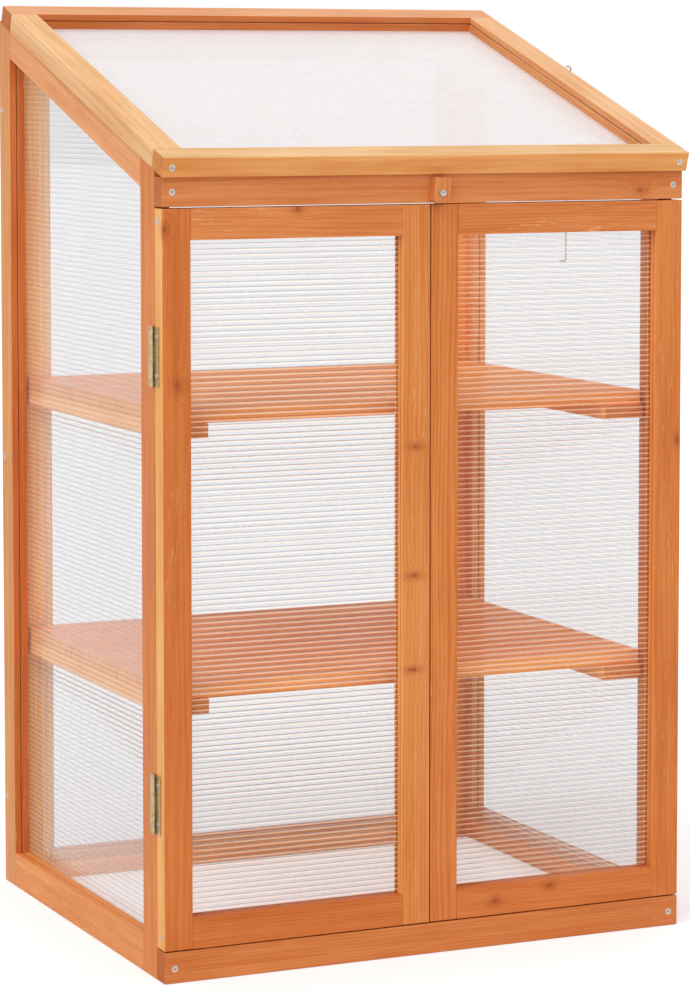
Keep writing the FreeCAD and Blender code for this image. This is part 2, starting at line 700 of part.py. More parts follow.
def lid_hinges(screws, pin, fixed_screws):
    """Two butt hinges between the lid's back edge and the sloping top of the back rail."""
    lid_leaf = hinge_leaf("lid_leaf", -1, "lid_leaf_reach", "lid_leaf_screw")
    back_leaf = hinge_leaf("back_leaf", 1, "lid_leaf_reach", "lid_leaf_screw")
    standing = Rotation(Vector(0, -1, 0), Vector(0, 0, -1), X_AXIS, "XYZ")
    lying = Rotation(Y_AXIS, 90)
    pieces = {"lid_leaves": [], "back_leaves": [], "pins": [], "lid_screws": [], "back_screws": []}
    for side in SIDES:
        middle = at_side(side, "lid_hinge_spread")
        place = (middle, "lid_pin_run", "lid_pin_rise")
        pieces["lid_leaves"].append(copy_of(lid_leaf, f"{side}_lid_leaf", standing, *place))
        pieces["back_leaves"].append(copy_of(back_leaf, f"{side}_back_leaf", lying, *place))
        pieces["pins"].append(copy_of(pin, f"{side}_lid_pin", lying, *place))
        for end in (-1, 1):
            x = f"{middle} + {end} * leaf_screw_spread"
            pieces["lid_screws"].append(
                copy_of(
                    screws["lid"],
                    f"{side}_lid_leaf_screw",
                    HEAD["back"],
                    x,
                    "lid_run + leaf_thickness",
                    "lid_pin_rise + lid_leaf_screw",
                )
            )
            pieces["back_screws"].append(
                copy_of(
                    screws["lid"],
                    f"{side}_back_leaf_screw",
                    HEAD["up"],
                    x,
                    "lid_pin_run + lid_leaf_screw",
                    "leaf_thickness - lid_gap",
                )
            )
    on_lid("lid_hinge_leaves", group("lid_hinge_leaves", pieces["lid_leaves"]))
    on_lid("back_lid_hinge_leaves", group("back_lid_hinge_leaves", pieces["back_leaves"]))
    on_lid("lid_hinge_pins", group("lid_hinge_pins", pieces["pins"]))

    sloped_screws = group("back_leaf_screws", pieces["back_screws"])
    sloped_place(sloped_screws, "0", "0", "0")
    node("hinge_frame_screws", group("hinge_frame_screws", fixed_screws + [sloped_screws]))

    lid_screws = list(pieces["lid_screws"])
    for side in SIDES:
        x = at_side(side, "lid_width / 2 - lid_screw_set")
        for end, along in (("front", "0"), ("back", "lid_run")):
            label = f"lid_{end}_{side}_screw"
            lid_screws.append(copy_of(screws["wood"], label, HEAD[end], x, along, "lid_thickness / 2"))
    on_lid("lid_screws", group("lid_screws", lid_screws))


def turn_button():
    """The wooden turn button: a drilled block with rounded corners, pivoting about its origin."""
    body = doc.addObject("PartDesign::Body", "turn_button")
    sketch = body.newObject("Sketcher::SketchObject", "button_outline")
    upright = [plane for plane in body.Origin.OriginFeatures if plane.Role == "XZ_Plane"][0]
    sketch.AttachmentSupport = [(upright, "")]
    sketch.MapMode = "FlatFace"
    low = -START["button_pivot"]
    high = low + START["button_length"]
    half = START["button_width"] / 2
    corners = [Vector(-half, low, 0), Vector(half, low, 0), Vector(half, high, 0), Vector(-half, high, 0)]
    for start, end in zip(corners, corners[1:] + corners[:1]):
        sketch.addGeometry(Part.LineSegment(start, end), False)
    sketch.addGeometry(Part.Circle(Vector(0, 0, 0), Z_AXIS, START["wood_screw_radius"]), False)
    for line in range(4):
        sketch.addConstraint(Sketcher.Constraint("Coincident", line, 2, (line + 1) % 4, 1))
    for line in (0, 2):
        sketch.addConstraint(Sketcher.Constraint("Horizontal", line))
        sketch.addConstraint(Sketcher.Constraint("Vertical", line + 1))
    sketch.addConstraint(Sketcher.Constraint("Coincident", 4, 3, -1, 1))
    hole = Sketcher.Constraint("Radius", 4, START["wood_screw_radius"])
    sizes = {
        "radius": (hole, "wood_screw_radius + pin_play"),
        "left": (Sketcher.Constraint("DistanceX", 3, 1, -1, 1, half), "button_width / 2"),
        "width": (Sketcher.Constraint("DistanceX", 0, 1, 0, 2, 2 * half), "button_width"),
        "below": (Sketcher.Constraint("DistanceY", 0, 1, -1, 1, -low), "button_pivot"),
        "length": (Sketcher.Constraint("DistanceY", 1, 1, 1, 2, high - low), "button_length"),
    }
    for name, (constraint, formula) in sizes.items():
        index = sketch.addConstraint(constraint)
        sketch.renameConstraint(index, name)
        sketch.setExpression(f"Constraints.{name}", bound(formula))
    doc.recompute()
    pad = body.newObject("PartDesign::Pad", "button_block")
    pad.Profile = sketch
    bind(pad, Length="button_thickness")
    doc.recompute()
    long_edges = [
        f"Edge{number}"
        for number, edge in enumerate(pad.Shape.Edges, start=1)
        if isinstance(edge.Curve, Part.Line) and abs(edge.tangentAt(edge.FirstParameter).y) > 0.99
    ]
    rounded = body.newObject("PartDesign::Fillet", "button_corners")
    rounded.Base = (pad, long_edges)
    bind(rounded, Radius="button_corner")
    body.Placement = Placement(Vector(), Rotation(Y_AXIS, 1))
    body.setExpression(".Placement.Rotation.Angle", bound("button_lean * 1 deg"))
    put(body, "button_x", "front - button_gap", "button_z")
    node("turn_button", body)


def latch_screw():
    """The flat-headed screw that the turn button pivots on."""
    button_face = "front - button_gap - button_thickness - button_head_gap"
    shank_length = "button_screw_depth + button_gap + button_thickness + button_head_gap"
    head = round_bar(
        "latch_head", "wood_head_radius", "button_head", HEAD["front"], "button_x", button_face, "button_z"
    )
    shank = round_bar(
        "latch_shank", "wood_screw_radius", shank_length, HEAD["back"], "button_x", button_face, "button_z"
    )
    depth = (f"{button_face} - button_head - recess_depth", f"{button_face} - button_head + recess_depth")
    long_x = ("button_x - recess_length / 2", "button_x + recess_length / 2")
    short_x = ("button_x - recess_width / 2", "button_x + recess_width / 2")
    long_z = ("button_z - recess_length / 2", "button_z + recess_length / 2")
    short_z = ("button_z - recess_width / 2", "button_z + recess_width / 2")
    node(
        "latch_screw",
        cut(
            "latch_screw",
            fuse("latch_screw_blank", head, shank),
            block("latch_slot_x", long_x, depth, short_z),
            block("latch_slot_z", short_x, depth, long_z),
        ),
    )


def screw_eye(name, wood_face):
    """A screw eye about its ring's middle, with its shank running left into the wood."""
    eye = ring(f"{name}_ring", "eye_radius", "eye_wire", Rotation(X_AXIS, 90))
    shank_length = f"eye_x - eye_radius - ({wood_face}) + eye_shank"
    shank = round_bar(f"{name}_shank", "eye_wire", shank_length, HEAD["left"], x="-eye_radius")
    return fuse(name, eye, shank)


def stay():
    """The wire that props the lid, its screw eye on the lid and the one that catches its prong."""
    lid_eye = screw_eye("lid_eye_shape", "lid_width / 2")
    placed = copy_of(lid_eye, "lid_eye_copy", Rotation(), "eye_x", "eye_run", "eye_rise")
    on_lid("lid_stay_eye", group("lid_stay_eye", [placed]))
    catch_eye = screw_eye("catch_eye_shape", "side_x")
    placed = copy_of(catch_eye, "catch_eye_copy", Rotation(), "eye_x", "catch_run", "catch_rise")
    on_lid("stay_catch_eye", group("stay_catch_eye", [placed]))

    facing_x = Rotation(Y_AXIS, 90)
    bend_turn = facing_x * Rotation(Z_AXIS, -90)
    straight = "stay_length - stay_bend - stay_eye"
    wire = fuse(
        "lid_stay",
        ring("stay_ring", "stay_eye", "stay_eye_wire", facing_x),
        round_bar("stay_rod", "stay_wire", straight, Rotation(X_AXIS, 180), z="-stay_eye"),
        ring(
            "stay_elbow",
            "stay_bend",
            "stay_wire",
            bend_turn,
            90,
            y="stay_bend",
            z="stay_bend - stay_length",
        ),
        round_bar(
            "stay_prong_bar", "stay_wire", "stay_prong", HEAD["back"], y="stay_bend", z="-stay_length"
        ),
    )
    pivot_rise = "(eye_rise - eye_radius)"
    put(
        wire,
        "eye_x",
        f"lid_front + eye_run * cos(lid_slope * 1 deg) - {pivot_rise} * sin(lid_slope * 1 deg)",
        f"lid_low + eye_run * sin(lid_slope * 1 deg) + {pivot_rise} * cos(lid_slope * 1 deg)",
    )
    node("lid_stay", wire)


def check_and_write():
    """Stop at any failed object or bad shape, then write each sub-part to a file of its own."""
    doc.recompute()
    failed = [
        piece.Name for piece in doc.Objects if "Invalid" in piece.State or "Error" in piece.State
    ]
    for piece in NODES:
        shape = piece.Shape
        if shape.isNull() or not shape.isValid() or not shape.Solids:
            failed.append(piece.Label)
    if failed:
        print("failed:", failed)
        sys.exit(1)
    os.makedirs("parts", exist_ok=True)
    for piece in NODES:
        piece.Shape.exportStep(f"parts/{piece.Label}.step")
    print(len(NODES), "sub-parts written")


write_sizes()
over_frames = side_frames()
back_frame(over_frames)
front_rails()
shelves()
for side in SIDES:
    door(side)
screws = make_screws()
frame_screws(screws)
pin, fixed_screws, door_screws = door_hinges(screws)
door_screw_groups(screws, door_screws)
lid_frame()
lid_hinges(screws, pin, fixed_screws)
turn_button()
latch_screw()
stay()
check_and_write()
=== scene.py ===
import json
import math
import random

import bpy
from mathutils import Matrix, Vector

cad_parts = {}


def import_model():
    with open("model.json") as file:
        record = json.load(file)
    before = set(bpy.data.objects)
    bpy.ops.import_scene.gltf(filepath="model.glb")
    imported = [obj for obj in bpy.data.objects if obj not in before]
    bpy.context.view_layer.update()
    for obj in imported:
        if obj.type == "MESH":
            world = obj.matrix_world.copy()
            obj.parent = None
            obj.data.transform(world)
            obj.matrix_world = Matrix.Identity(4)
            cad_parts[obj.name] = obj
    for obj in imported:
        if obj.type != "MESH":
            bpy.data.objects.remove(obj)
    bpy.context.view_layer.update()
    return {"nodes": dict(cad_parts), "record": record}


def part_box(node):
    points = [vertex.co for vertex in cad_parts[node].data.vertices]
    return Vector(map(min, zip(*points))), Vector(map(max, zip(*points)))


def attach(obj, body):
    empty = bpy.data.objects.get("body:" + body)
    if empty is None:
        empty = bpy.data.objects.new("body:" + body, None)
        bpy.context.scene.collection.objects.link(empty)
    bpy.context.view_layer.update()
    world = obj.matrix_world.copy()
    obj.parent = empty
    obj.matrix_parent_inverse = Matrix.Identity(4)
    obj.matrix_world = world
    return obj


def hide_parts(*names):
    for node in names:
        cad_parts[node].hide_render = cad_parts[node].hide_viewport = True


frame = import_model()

random.seed(7)

MM = 0.001
LID_SLOPE = math.radians(18)
UP_SLOPE = (0, math.cos(LID_SLOPE), math.sin(LID_SLOPE))
LID_TOP = (0, -UP_SLOPE[2], UP_SLOPE[1])
WHITE = (1, 1, 1, 1)
BODY_OF = {
    node: body for body, nodes in frame["record"]["behaviour"]["bodies"].items() for node in nodes
}


# Node trees


def add(tree, kind, inputs=None, **settings):
    """A node with its settings, each of its inputs linked to a socket or set to a value."""
    node = tree.nodes.new(kind)
    for name, value in settings.items():
        setattr(node, name, value)
    for key, value in (inputs or {}).items():
        set_or_link(tree, node.inputs[key], value)
    return node


def set_or_link(tree, target, value):
    """Link an input to a socket, or set it to a value."""
    if isinstance(value, bpy.types.NodeSocket):
        tree.links.new(value, target)
    else:
        target.default_value = value


def calc(tree, operation, *values, clamp=False):
    """The result of a math node."""
    node = add(tree, "ShaderNodeMath", dict(enumerate(values)), operation=operation, use_clamp=clamp)
    return node.outputs[0]


def vector_calc(tree, operation, *values):
    """The vector result of a vector math node."""
    return add(tree, "ShaderNodeVectorMath", dict(enumerate(values)), operation=operation).outputs[0]


def number_from(tree, operation, *vectors):
    """The single number that a vector math node works out, such as a length."""
    node = add(tree, "ShaderNodeVectorMath", dict(enumerate(vectors)), operation=operation)
    return node.outputs["Value"]


def ramp(tree, value, low, high, start=0.0, end=1.0):
    """A value's smooth way from start to end between low and high."""
    inputs = {"Value": value, "From Min": low, "From Max": high, "To Min": start, "To Max": end}
    return add(tree, "ShaderNodeMapRange", inputs, interpolation_type="SMOOTHSTEP").outputs["Result"]


def noise(tree, vector, seed, scale, detail=2.0, roughness=0.5):
    """Noise from 0 to 1, with a scale of its own along each axis, in waves per metre."""
    stretched = vector_calc(tree, "MULTIPLY", vector, scale)
    inputs = {"Vector": stretched, "W": seed, "Scale": 1.0, "Detail": detail, "Roughness": roughness}
    return add(tree, "ShaderNodeTexNoise", inputs, noise_dimensions="4D").outputs["Fac"]


def swing(tree, pattern, size, middle):
    """A pattern from 0 to 1 turned into a value that swings round a middle."""
    return calc(tree, "MULTIPLY_ADD", calc(tree, "SUBTRACT", pattern, 0.5), size, middle)


def mix(tree, factor, first, second, blend="MIX"):
    """Two colours mixed by a factor."""
    node = add(tree, "ShaderNodeMix", data_type="RGBA", blend_type=blend, clamp_factor=True)
    for socket, value in zip((node.inputs[0], node.inputs[6], node.inputs[7]), (factor, first, second)):
        set_or_link(tree, socket, value)
    return node.outputs[2]


def mix_shaders(tree, share, first, second):
    """Two shaders mixed, with the share of the second."""
    return add(tree, "ShaderNodeMixShader", {0: share, 1: first.outputs[0], 2: second.outputs[0]})


def rgba(red, green, blue):
    """A colour given as it looks on a screen, from 0 to 255, as a linear one."""
    def linear(value):
        value /= 255
        return value / 12.92 if value <= 0.04045 else ((value + 0.055) / 1.055) ** 2.4
    return (linear(red), linear(green), linear(blue), 1.0)


def material(name):
    """An empty node material with its output."""
    made = bpy.data.materials.new(name)
    made.use_nodes = True
    made.node_tree.nodes.clear()
    return made, made.node_tree, made.node_tree.nodes.new("ShaderNodeOutputMaterial")


def object_point(tree):
    """The place of the shaded point on the object."""
    return tree.nodes.new("ShaderNodeTexCoord").outputs["Object"]


# Stained fir: the grain runs along X of the board's own coordinates

FIR_INPUTS = {
    "Vector": (
        "Point", "Normal", "Pith", "Knot A", "Knot B", "Knot C", "Knot scale", "Painted light side", "Painted light gain",
    ),
    "Float": ("Seed", "Worn", "Ring spacing", "Ring strength"),
    "Color": ("Light", "Dark"),
}
FIR_OUTPUTS = {"Color": "Color", "Height": "Float", "Roughness": "Float"}
KNOT_NAMES = ("Knot A", "Knot B", "Knot C")

# Waves of noise per metre, along the grain and both ways across it
KNOT_EDGE_SCALE = (130, 230, 230)
RING_WANDER_SCALE = (2.5, 14, 14)
STREAK_SCALE = (5, 130, 130)
FIBRE_SCALE = (30, 1100, 1100)
CLOUD_SCALE = (7, 16, 16)
FLECK_SCALE = (45, 420, 420)
WORN_SCALE = (6, 22, 22)

# What is added to a board's seed, so that its patterns differ
CLOUD_SEED = 5.0
FLECK_SEED = 9.0
WORN_SEED = 13.0

# How far each pattern shifts a board from its dark to its light shade
STREAKS = 2.1
CLOUDS = 1.1
FIBRES = 0.8
LIFT = 0.08

# Growth rings: how far noise and knots bend them, and where late wood begins and ends in each
RING_WANDER = 16 * MM
RING_PUSH = 8 * MM
LATE_RISE = (0.35, 0.88)
LATE_FALL = (0.9, 1.0)

# A knot's parts, in radii from its middle
KNOT_CORE = (0.2, 0.9)
KNOT_HALO = (0.5, 2.2)
KNOT_RIM = 0.8
RIM_WIDTH = 0.2
KNOT_RAGGED = 0.9

# Levels of noise between which the flecks and the worn patches fade in
FLECK_FADE = (0.55, 0.7)
WORN_FADE = (0.45, 0.65)

# How squarely a face has to look along the grain, or to the side painted lighter as painted light, to count
# as such a face
END_GRAIN_FADE = (0.75, 0.95)
PAINTED_LIGHT_FADE = (0.6, 0.95)

FIBRE_HEIGHT = 0.6
RING_HEIGHT = 0.5
RIM_HEIGHT = 0.6
ROUGHNESS = 0.52
LATE_SMOOTHER = -0.10
END_ROUGHER = 0.18
FLECK_COLOR = rgba(243, 190, 128)
KNOT_COLOR = rgba(158, 72, 30)
END_GRAIN_TINT = (0.80, 0.72, 0.66, 1)


def knots_in(tree, given):
    """How dark the knots make a point, their rims, and how far they push the growth rings aside."""
    point = given["Point"]
    nearest = None
    for name in KNOT_NAMES:
        away = vector_calc(tree, "SUBTRACT", point, given[name])
        distance = number_from(tree, "LENGTH", vector_calc(tree, "DIVIDE", away, given["Knot scale"]))
        nearest = distance if nearest is None else calc(tree, "MINIMUM", nearest, distance)
    squared = calc(tree, "MULTIPLY", nearest, nearest)
    pushed = calc(tree, "POWER", math.e, calc(tree, "MULTIPLY", squared, -0.3))

    edge = noise(tree, point, given["Seed"], KNOT_EDGE_SCALE)
    ragged = calc(tree, "MULTIPLY_ADD", edge, KNOT_RAGGED, -KNOT_RAGGED / 2)
    nearest = calc(tree, "ADD", nearest, ragged)
    halo = ramp(tree, nearest, *KNOT_HALO, start=0.3, end=0.0)
    core = ramp(tree, nearest, *KNOT_CORE, start=0.85, end=0.0)
    off_rim = calc(tree, "ABSOLUTE", calc(tree, "SUBTRACT", nearest, KNOT_RIM))
    rim = ramp(tree, off_rim, 0.0, RIM_WIDTH, start=1.0, end=0.0)
    dark = calc(tree, "MAXIMUM", calc(tree, "MAXIMUM", core, halo), calc(tree, "MULTIPLY", rim, 0.6))
    return dark, rim, pushed


def late_wood(tree, given, pushed):
    """The dark late wood of the growth rings, from 0 to 1."""
    wander = noise(tree, given["Point"], given["Seed"], RING_WANDER_SCALE)
    from_pith = vector_calc(tree, "SUBTRACT", given["Point"], given["Pith"])
    radius = number_from(tree, "LENGTH", vector_calc(tree, "MULTIPLY", from_pith, (0, 1, 1)))
    radius = calc(tree, "ADD", radius, calc(tree, "MULTIPLY", wander, RING_WANDER))
    radius = calc(tree, "ADD", radius, calc(tree, "MULTIPLY", pushed, RING_PUSH))
    phase = calc(tree, "FRACT", calc(tree, "DIVIDE", radius, given["Ring spacing"]))
    rise = ramp(tree, phase, *LATE_RISE)
    fall = ramp(tree, phase, *LATE_FALL, start=1.0, end=0.0)
    return calc(tree, "MULTIPLY", rise, fall)


def tone_of(tree, given, fibres, late):
    """From 0, the board's dark shade, to 1, its light one."""
    streaks = noise(tree, given["Point"], given["Seed"], STREAK_SCALE, 4.0, 0.6)
    clouds = noise(tree, given["Point"], calc(tree, "ADD", given["Seed"], CLOUD_SEED), CLOUD_SCALE)
    tone = swing(tree, streaks, STREAKS, 0.5)
    tone = swing(tree, clouds, CLOUDS, tone)
    tone = swing(tree, fibres, FIBRES, tone)
    rings = calc(tree, "MULTIPLY", late, given["Ring strength"])
    return calc(tree, "ADD", calc(tree, "SUBTRACT", tone, rings), LIFT, clamp=True)


def flecks_in(tree, given):
    """Small pale flecks where the stain is worn, in patches."""
    flecks = noise(tree, given["Point"], calc(tree, "ADD", given["Seed"], FLECK_SEED), FLECK_SCALE, 3.0, 0.65)
    worn = noise(tree, given["Point"], calc(tree, "ADD", given["Seed"], WORN_SEED), WORN_SCALE, 1.0)
    flecks = calc(tree, "MULTIPLY", ramp(tree, flecks, *FLECK_FADE), ramp(tree, worn, *WORN_FADE))
    return calc(tree, "MULTIPLY", flecks, given["Worn"])


def fir_group():
    """Growth rings round a pith, streaks, clouds, fibres, flecks, knots and darker end grain, and painted
    light: one side painted lighter, as if lit more by the lamps.
    """
    tree = bpy.data.node_groups.new("stained_fir", "ShaderNodeTree")
    for kind, names in FIR_INPUTS.items():
        for name in names:
            tree.interface.new_socket(name, in_out="INPUT", socket_type=f"NodeSocket{kind}")
    for name, kind in FIR_OUTPUTS.items():
        tree.interface.new_socket(name, in_out="OUTPUT", socket_type=f"NodeSocket{kind}")
    given = tree.nodes.new("NodeGroupInput").outputs

    knot_dark, knot_rim, pushed = knots_in(tree, given)
    late = late_wood(tree, given, pushed)
    fibres = noise(tree, given["Point"], given["Seed"], FIBRE_SCALE, 2.0, 0.6)
    along = add(tree, "ShaderNodeSeparateXYZ", {0: given["Normal"]}).outputs["X"]
    end_grain = ramp(tree, calc(tree, "ABSOLUTE", along), *END_GRAIN_FADE)
    # Painted light: faces towards the painted light side get their red, green and blue raised by the gain, as
    # if lit more by the lamps
    facing = number_from(tree, "DOT_PRODUCT", given["Normal"], given["Painted light side"])
    painted_light_side = ramp(tree, facing, *PAINTED_LIGHT_FADE)

    color = mix(tree, tone_of(tree, given, fibres, late), given["Dark"], given["Light"])
    color = mix(tree, painted_light_side, color, vector_calc(tree, "MULTIPLY", color, given["Painted light gain"]))
    color = mix(tree, flecks_in(tree, given), color, FLECK_COLOR)
    color = mix(tree, knot_dark, color, KNOT_COLOR)
    color = mix(tree, end_grain, color, mix(tree, 1.0, color, END_GRAIN_TINT, "MULTIPLY"))

    height = calc(tree, "MULTIPLY_ADD", fibres, FIBRE_HEIGHT, calc(tree, "MULTIPLY", late, RING_HEIGHT))
    height = calc(tree, "SUBTRACT", height, calc(tree, "MULTIPLY", knot_rim, RIM_HEIGHT))
    rough = calc(tree, "MULTIPLY_ADD", late, LATE_SMOOTHER, ROUGHNESS)
    rough = calc(tree, "MULTIPLY_ADD", end_grain, END_ROUGHER, rough)
    out = tree.nodes.new("NodeGroupOutput")
    for name, value in {"Color": color, "Height": height, "Roughness": rough}.items():
        tree.links.new(value, out.inputs[name])
    return tree


FIR = fir_group()

# A board's own axes in the part's frame: along the grain, and two across it
GRAIN = {
    "across": ((1, 0, 0), (0, 1, 0), (0, 0, 1)),
    "upright": ((0, 0, 1), (1, 0, 0), (0, 1, 0)),
    "deep": ((0, 1, 0), (1, 0, 0), (0, 0, 1)),
    "sloped": (UP_SLOPE, (1, 0, 0), LID_TOP),
    "across_sloped": ((1, 0, 0), UP_SLOPE, LID_TOP),
}

# A board's light and dark shade, as times its mean colour
LIGHTER = (1.10, 1.22, 1.40)
DARKER = (0.86, 0.72, 0.55)

# How far a board's pith lies from its middle along the board's second axis, either way, and its third
PITH_SECOND = (0.01, 0.06)
PITH_THIRD = (-0.09, 0.05)

# Noise seeds to draw from, a place too far away for a knot to show, and the depth of the grain
SEEDS = (0, 50)
NO_KNOT = (9, 9, 9)
GRAIN_DEPTH = 0.4 * MM

# Sides of a board that may be painted lighter, as painted light from the lamps. LEFT_AND_FRONT is long enough
# for both to count in full.
LEFT = (-1, 0, 0)
FRONT = (0, -1, 0)
LEFT_AND_FRONT = (-1, -1, 0)
NO_SIDE = ((0, 0, 0), (1, 1, 1))

# The specular level of the outer boards, and of the duller ones inside
OUTER_GLOSS = 0.28
INNER_GLOSS = 0.08


def shades(red, green, blue):
    """The light and the dark shade of a board whose mean colour is given as it looks on a screen."""
    mean = rgba(red, green, blue)
    return [tuple(min(m * s, 1) for m, s in zip(mean, scale)) + (1,) for scale in (LIGHTER, DARKER)]


def wood(
    node, grain, colour, knots=(), knot_size=(8, 5, 5), painted_light_side=NO_SIDE,
    worn=0.3, spacing=3.4, rings=0.22, gloss=OUTER_GLOSS,
):
    """Stained fir for one board. Up to three knots are places in millimetres in the part's frame, and
    their size, like the rings' spacing, is in millimetres too. The painted light side is a side painted
    lighter as painted light from the lamps, and how many times lighter its red, green and blue are."""
    made, tree, output = material(f"{node}_fir")
    axes = Matrix(GRAIN[grain])
    turn = axes.to_euler()
    coords = tree.nodes.new("ShaderNodeTexCoord").outputs
    point = add(tree, "ShaderNodeMapping", {"Vector": coords["Object"], "Rotation": turn}).outputs[0]
    normal = add(tree, "ShaderNodeMapping", {"Vector": coords["Normal"], "Rotation": turn}).outputs[0]
    low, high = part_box(node)
    middle = axes @ ((low + high) / 2)
    second = random.choice((-1, 1)) * random.uniform(*PITH_SECOND)
    pith = middle + Vector((0, second, random.uniform(*PITH_THIRD)))
    places = [tuple(axes @ Vector(knot) * MM) for knot in knots]
    places += [NO_KNOT] * (len(KNOT_NAMES) - len(places))
    light, dark = shades(*colour)
    inputs = {
        **dict(zip(KNOT_NAMES, places)),
        "Point": point,
        "Normal": normal,
        "Pith": tuple(pith),
        "Knot scale": tuple(size * MM for size in knot_size),
        "Painted light side": tuple(axes @ Vector(painted_light_side[0])),
        "Painted light gain": painted_light_side[1],
        "Seed": random.uniform(*SEEDS),
        "Worn": worn,
        "Ring spacing": spacing * MM,
        "Ring strength": rings,
        "Light": light,
        "Dark": dark,
    }
    group = add(tree, "ShaderNodeGroup", node_tree=FIR)
    for name, value in inputs.items():
        set_or_link(tree, group.inputs[name], value)
    relief = {"Height": group.outputs["Height"], "Strength": 0.5, "Distance": GRAIN_DEPTH}
    bump = add(tree, "ShaderNodeBump", relief)
    shader = add(
        tree,
        "ShaderNodeBsdfPrincipled",
        {
            "Base Color": group.outputs["Color"],
            "Roughness": group.outputs["Roughness"],
            "Normal": bump.outputs[0],
            "IOR": 1.45,
            "Specular IOR Level": gloss,
        },
    )
    tree.links.new(shader.outputs[0], output.inputs["Surface"])
    return made


# Metals

METAL_CLOUD_SCALE = (260, 260, 260)
METAL_CLOUD_FADE = (0.4, 0.7)
SCRATCH_SCALE = (300, 300, 4200)
SCRATCH_DEPTH = 0.2 * MM


def metal(name, color, shade, roughness):
    """A plated metal with faint clouding and fine scratches."""
    made, tree, output = material(name)
    point = object_point(tree)
    clouds = noise(tree, point, 1.0, METAL_CLOUD_SCALE, 3.0, 0.6)
    scratches = noise(tree, point, 4.0, SCRATCH_SCALE, 2.0, 0.6)
    tint = mix(tree, ramp(tree, clouds, *METAL_CLOUD_FADE), color, shade)
    rough = calc(tree, "MULTIPLY_ADD", clouds, 0.2, roughness - 0.1)
    bump = add(tree, "ShaderNodeBump", {"Height": scratches, "Strength": 0.25, "Distance": SCRATCH_DEPTH})
    shader = add(
        tree,
        "ShaderNodeBsdfPrincipled",
        {"Base Color": tint, "Metallic": 1.0, "Roughness": rough, "Normal": bump.outputs[0]},
    )
    tree.links.new(shader.outputs[0], output.inputs["Surface"])
    return made


# Twin-wall sheet: its materials

# The share of light that is mirrored head-on, and at a flat angle
WALL_MIRROR = (0.006, 0.35)
RIB_MIRROR = (0.04, 0.8)
WALL_ROUGHNESS = 0.12
RIB_ROUGHNESS = 0.08

# The haze thickens with the way through the wall, up to this angle's cosine
LEAST_COSINE = 0.12
HAZE_SCALE = (9, 9, 9)
LINE_SCALE = (14, 14, 90)
LINE_MIRROR_TINT = (0.9, 0.9, 0.9, 1)


def facing_away(tree):
    """From 0 where a surface is seen head-on to 1 where it is seen edge-on, on either side."""
    return add(tree, "ShaderNodeLayerWeight", {"Blend": 0.5}).outputs["Facing"]


def mirrored(tree, shares):
    """The share of light that clear plastic mirrors, from its head-on to its flat-angle value."""
    head_on, flat = shares
    steep = calc(tree, "POWER", facing_away(tree), 5.0)
    return calc(tree, "MULTIPLY_ADD", steep, flat - head_on, head_on)


def clear_with_mirror(tree, tint, shares, mirror_tint, roughness):
    """Clear plastic of a tint that mirrors a share of the light."""
    through = add(tree, "ShaderNodeBsdfTransparent", {"Color": tint})
    mirror = add(tree, "ShaderNodeBsdfGlossy", {"Color": mirror_tint, "Roughness": roughness})
    return mix_shaders(tree, mirrored(tree, shares), through, mirror)


def haze(name, color, cover):
    """Clear plastic with a faint haze. It mirrors more and looks whiter where it is seen at a flat angle."""
    made, tree, output = material(name)
    clouds = noise(tree, object_point(tree), 2.0, HAZE_SCALE)
    head_on = swing(tree, clouds, cover * 0.5, cover)
    cosine = calc(tree, "MAXIMUM", calc(tree, "SUBTRACT", 1.0, facing_away(tree)), LEAST_COSINE)
    depth = calc(tree, "DIVIDE", 1.0, calc(tree, "MULTIPLY", cosine, cosine))
    left_clear = calc(tree, "POWER", calc(tree, "SUBTRACT", 1.0, head_on), depth)
    clear = clear_with_mirror(tree, CLEAR_TINT, WALL_MIRROR, WHITE, WALL_ROUGHNESS)
    dull = add(tree, "ShaderNodeBsdfDiffuse", {"Color": color})
    both = mix_shaders(tree, left_clear, dull, clear)
    tree.links.new(both.outputs[0], output.inputs["Surface"])
    return made


def shade_line(name, tint):
    """The dark line of a rib, a painted shade, which takes away a part of the light that comes through."""
    made, tree, output = material(name)
    uneven = noise(tree, object_point(tree), 3.0, LINE_SCALE)
    dark = swing(tree, uneven, 0.9 * (1 - tint), tint)
    both = clear_with_mirror(tree, dark, WALL_MIRROR, LINE_MIRROR_TINT, WALL_ROUGHNESS)
    tree.links.new(both.outputs[0], output.inputs["Surface"])
    return made


def painted_highlight_line(name, gain, cover):
    """The bright line of a rib, a painted highlight: it lets through more light than comes from behind it,
    and scatters a peach colour of its own.
    """
    made, tree, output = material(name)
    uneven = noise(tree, object_point(tree), 3.0, LINE_SCALE)
    strength = swing(tree, uneven, cover * 0.9, cover)
    through = add(tree, "ShaderNodeBsdfTransparent", {"Color": (gain, gain, gain, 1)})
    dull = add(tree, "ShaderNodeBsdfDiffuse", {"Color": PAINTED_HIGHLIGHT_COLOR})
    both = mix_shaders(tree, strength, through, dull)
    tree.links.new(both.outputs[0], output.inputs["Surface"])
    return made


def rib_side(name):
    """The smooth side of a rib: it mirrors at a flat angle, and lets the rest through."""
    made, tree, output = material(name)
    both = clear_with_mirror(tree, RIB_TINT, RIB_MIRROR, LINE_MIRROR_TINT, RIB_ROUGHNESS)
    tree.links.new(both.outputs[0], output.inputs["Surface"])
    return made


CLEAR_TINT = (0.962, 0.964, 0.967, 1)
RIB_TINT = (0.97, 0.97, 0.975, 1)
# The peach colour that the rib's painted highlight scatters
PAINTED_HIGHLIGHT_COLOR = (1.0, 0.77, 0.57, 1)
SHEET_WALL = haze("sheet_wall", (0.80, 0.79, 0.81, 1), 0.005)
LID_WALL = haze("lid_sheet_wall", (0.83, 0.82, 0.84, 1), 0.06)
RIB_SIDE = rib_side("sheet_rib_side")

